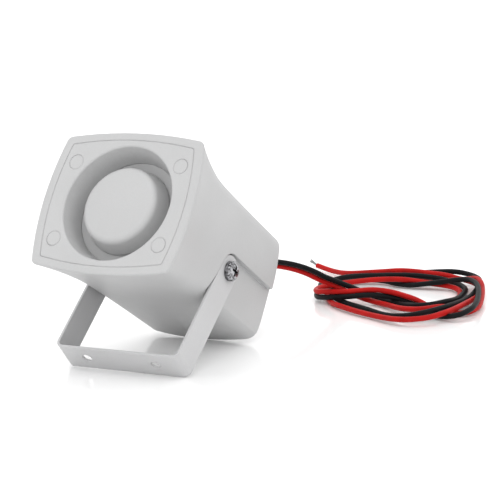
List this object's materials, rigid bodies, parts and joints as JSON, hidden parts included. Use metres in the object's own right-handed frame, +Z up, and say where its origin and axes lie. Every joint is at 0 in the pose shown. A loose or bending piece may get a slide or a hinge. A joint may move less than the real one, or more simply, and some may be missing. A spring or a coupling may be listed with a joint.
{
  "type": "alarm siren",
  "caption": "Horn siren with a flared square housing, reflector cup in a ring channel, a tilting U bracket on side screws and two flying leads.",
  "frame": {"origin": "centre of the footprint on the floor, measured without the free leads", "axes": "+Z up, the mouth faces -Y and is pitched up as the siren rests on its bracket, +X across the siren"},
  "size_m": [0.15, 0.2401, 0.1084],
  "materials": {
    "shell": "fine matt moulded",
    "bracket_paint": "matt powder coat",
    "screw_chrome": "bright zinc plate",
    "zinc": "zinc plate",
    "brass_insert": "knurled",
    "nylon": "smooth",
    "soft_rubber": "matt",
    "dome_film": "satin film",
    "former_film": "polyimide film",
    "copper_wire": "enamelled copper",
    "frame_black": "satin black",
    "ferrite": "sintered",
    "phenolic": "smooth",
    "board_laminate": "solder mask",
    "chip_resin": "moulded resin",
    "capacitor_sleeve": "shrunk sleeve",
    "resistor_body": "lacquered",
    "driver_wire": "thin insulation",
    "lead_black": "soft insulation",
    "lead_red": "soft insulation",
    "tinned_copper": "tinned strands"
  },
  "bodies": {
    "head": {"housing": "shell", "front_plate": "shell", "horn_body": "shell", "reflector_cup": "shell", "screw_caps": "shell", "pivot_screws": "screw_chrome", "plate_screws": "zinc", "driver_screws": "zinc", "board_screws": "zinc", "top_plate": "zinc", "yoke": "zinc", "pivot_inserts": "brass_insert", "friction_washers": "nylon", "throat_gasket": "soft_rubber", "surround": "soft_rubber", "cable_grommet": "soft_rubber", "driver_frame": "frame_black", "magnet": "ferrite", "terminal_strip": "phenolic", "circuit_board": "board_laminate", "tone_chip": "chip_resin", "power_transistor": "chip_resin", "diode": "chip_resin", "capacitor": "capacitor_sleeve", "resistors": "resistor_body", "driver_leads": "driver_wire", "black_lead": "lead_black", "black_inner_lead": "lead_black", "lead_coil": "lead_black", "red_lead": "lead_red", "red_inner_lead": "lead_red", "red_tail": "lead_red", "red_tip": "tinned_copper"},
    "bracket": {"bracket": "bracket_paint"},
    "moving_coil": {"diaphragm": "dome_film", "coil_former": "former_film", "voice_coil": "copper_wire"}
  },
  "joints": [
    {"name": "bracket_tilt", "type": "hinge", "parent": "head", "child": "bracket", "pos_m": [0, 0.00126, 0.04126], "axis": [1, 0, 0], "range_deg": [0, 106]},
    {"name": "diaphragm_travel", "type": "slide", "parent": "head", "child": "moving_coil", "axis": [0, -0.8188, 0.5741], "range_m": [-0.0003, 0.0003], "stiffness_N_per_m": 2500}
  ]
}
